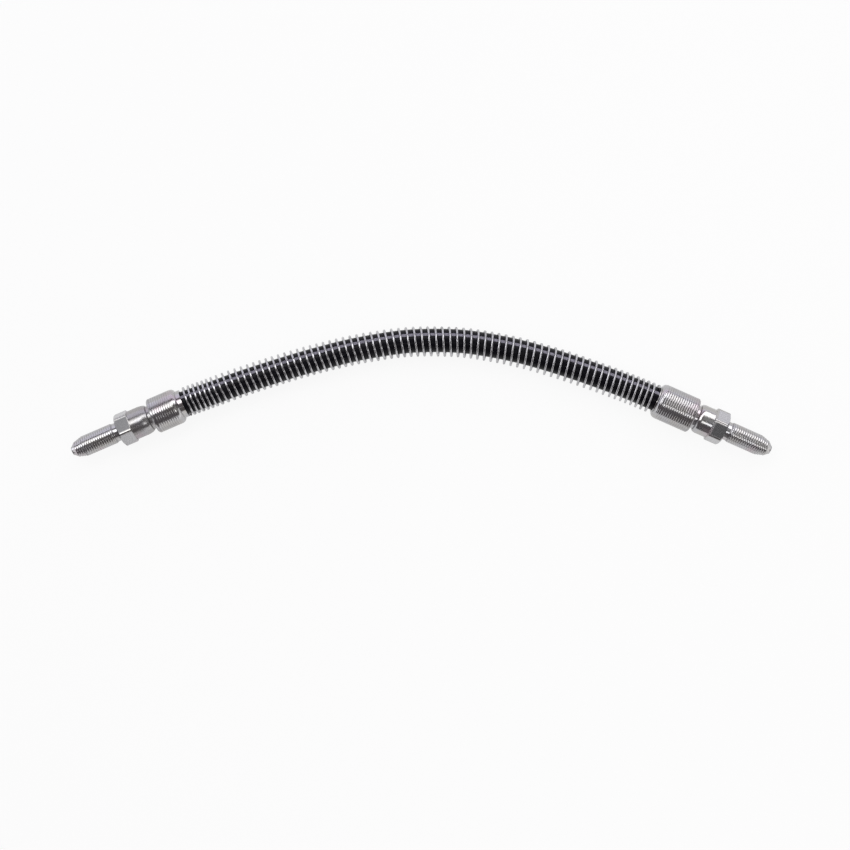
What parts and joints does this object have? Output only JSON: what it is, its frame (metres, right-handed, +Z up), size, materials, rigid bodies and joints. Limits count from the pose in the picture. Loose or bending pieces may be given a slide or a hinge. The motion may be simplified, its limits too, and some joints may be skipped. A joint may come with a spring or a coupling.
{
  "type": "hydraulic brake hose",
  "caption": "Rubber hydraulic brake hose inside a right-hand guard spring, with a ribbed crimped ferrule and a hexagon-bodied male fitting at each end.",
  "frame": {"origin": "on the floor that the hose lies on, at the middle of the box round its four steel end pieces (the hose and its spring are left out of that box)", "axes": "+X along the hose from the left fitting to the right one, +Y towards the outside of its bend, +Z up"},
  "size_m": [0.3185, 0.0594, 0.0164],
  "materials": {
    "zinc_fitting": "bright zinc plate over turned steel",
    "zinc_ferrule": "bright zinc plate over crimped steel",
    "black_rubber": "smooth black rubber, faint sheen",
    "guard_wire": "bright plated spring wire"
  },
  "bodies": {
    "root": {"left_end_fitting": "zinc_fitting", "left_ferrule": "zinc_ferrule", "rubber_hose": "black_rubber", "guard_spring": "guard_wire", "right_ferrule": "zinc_ferrule", "right_end_fitting": "zinc_fitting"}
  },
  "joints": []
}
